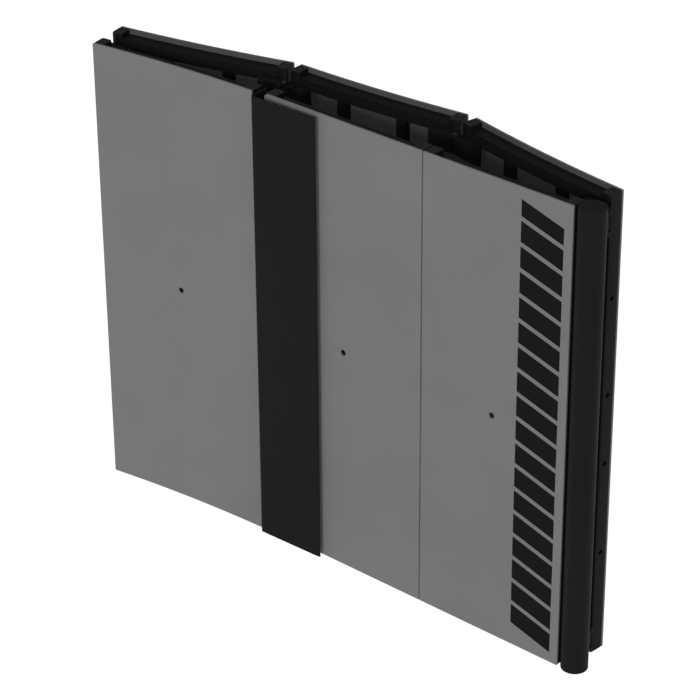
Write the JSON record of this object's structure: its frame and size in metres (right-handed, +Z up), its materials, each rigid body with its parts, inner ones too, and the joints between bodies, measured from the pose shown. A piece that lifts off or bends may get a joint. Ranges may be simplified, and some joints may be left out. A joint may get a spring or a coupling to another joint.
{
  "type": "folding quarter pipe ramp",
  "caption": "Folding skate quarter pipe: hinged curved riding panels with steel frames, deck, round coping, back support and threshold plate.",
  "frame": {"origin": "centre of the folded pack's footprint, on the floor under the long side edge it stands on", "axes": "+X along the folded pack, from the second panel's free end towards the coping; +Y across the pack, towards the convex side of the curved panels; +Z up along the riding width"},
  "size_m": [1.4942, 0.2688, 1.2192],
  "materials": {
    "riding_board": "matte composite riding board, mid grey",
    "black_steel": "satin black powder coat on steel tube and plate",
    "black_zinc": "black zinc plated steel",
    "black_plastic": "matte black moulded"
  },
  "bodies": {
    "middle_panel": {"middle_panel_sheet": "riding_board", "middle_panel_lower_tube": "black_steel", "middle_panel_upper_tube": "black_steel", "middle_panel_right_rail": "black_steel", "middle_panel_left_rail": "black_steel", "middle_panel_rib_1": "black_steel", "middle_panel_rib_2": "black_steel", "middle_hinge_right_pin": "black_zinc", "middle_hinge_left_pin": "black_zinc", "upper_hinge_right_pin": "black_zinc", "upper_hinge_left_pin": "black_zinc"},
    "second_panel": {"second_panel_sheet": "riding_board", "second_panel_lower_tube": "black_steel", "second_panel_upper_tube": "black_steel", "second_panel_right_rail": "black_steel", "second_panel_left_rail": "black_steel", "second_panel_rib_1": "black_steel", "second_panel_rib_2": "black_steel", "lower_hinge_right_pin": "black_zinc", "lower_hinge_left_pin": "black_zinc"},
    "lower_panel": {"lower_panel_sheet": "riding_board", "lower_panel_lower_tube": "black_steel", "lower_panel_upper_tube": "black_steel", "lower_panel_right_rail": "black_steel", "lower_panel_left_rail": "black_steel", "lower_panel_rib_1": "black_steel", "lower_panel_rib_2": "black_steel", "threshold_hinge_rod": "black_zinc"},
    "threshold": {"threshold_plate": "black_steel"},
    "upper_panel": {"upper_panel_sheet": "riding_board", "upper_panel_lower_tube": "black_steel", "upper_panel_upper_tube": "black_steel", "upper_panel_right_rail": "black_steel", "upper_panel_left_rail": "black_steel", "upper_panel_rib_1": "black_steel", "upper_panel_rib_2": "black_steel", "coping_hinge_right_pin": "black_zinc", "coping_hinge_left_pin": "black_zinc"},
    "deck": {"deck_sheet": "riding_board", "deck_coping_tube": "black_steel", "deck_back_tube": "black_steel", "deck_right_rail": "black_steel", "deck_left_rail": "black_steel", "deck_rib_1": "black_steel", "deck_rib_2": "black_steel", "coping_pipe": "black_steel", "coping_left_plug": "black_plastic", "coping_right_plug": "black_plastic", "back_hinge_right_pin": "black_zinc", "back_hinge_left_pin": "black_zinc"},
    "back_support": {"back_support_sheet": "riding_board", "back_support_deck_tube": "black_steel", "back_support_foot_tube": "black_steel", "back_support_right_rail": "black_steel", "back_support_left_rail": "black_steel", "back_support_rib_1": "black_steel", "back_support_rib_2": "black_steel"}
  },
  "joints": [
    {"name": "coping_hinge", "type": "hinge", "parent": "upper_panel", "child": "deck", "pos_m": [0.71908, -0.011, 0], "axis": [0, 0, 1], "range_deg": [0, 145.35]},
    {"name": "upper_hinge", "type": "hinge", "parent": "middle_panel", "child": "upper_panel", "pos_m": [0.22891, 0.07412, 0], "axis": [0, 0, 1], "range_deg": [0, 21.26]},
    {"name": "middle_hinge", "type": "hinge", "parent": "middle_panel", "child": "second_panel", "pos_m": [-0.26024, 0.03754, 0], "axis": [0, 0, -1], "range_deg": [0, 15.97]},
    {"name": "lower_hinge", "type": "hinge", "parent": "second_panel", "child": "lower_panel", "pos_m": [-0.73785, -0.07428, 0], "axis": [0, 0, -1], "range_deg": [0, 179.08]},
    {"name": "back_hinge", "type": "hinge", "parent": "deck", "child": "back_support", "pos_m": [0.25979, -0.022, 0], "axis": [0, 0, -1], "range_deg": [0, 90.01]},
    {"name": "threshold_hinge", "type": "hinge", "parent": "lower_panel", "child": "threshold", "pos_m": [-0.24226, -0.04983, 0], "axis": [0, 0, 1], "range_deg": [0, 17.51]}
  ],
  "couplings": [
    {"joint": "upper_hinge", "follows": "coping_hinge", "ratio": 0.1462},
    {"joint": "lower_hinge", "follows": "coping_hinge", "ratio": 1.232},
    {"joint": "back_hinge", "follows": "coping_hinge", "ratio": 0.6192},
    {"joint": "threshold_hinge", "follows": "coping_hinge", "ratio": 0.1204}
  ]
}
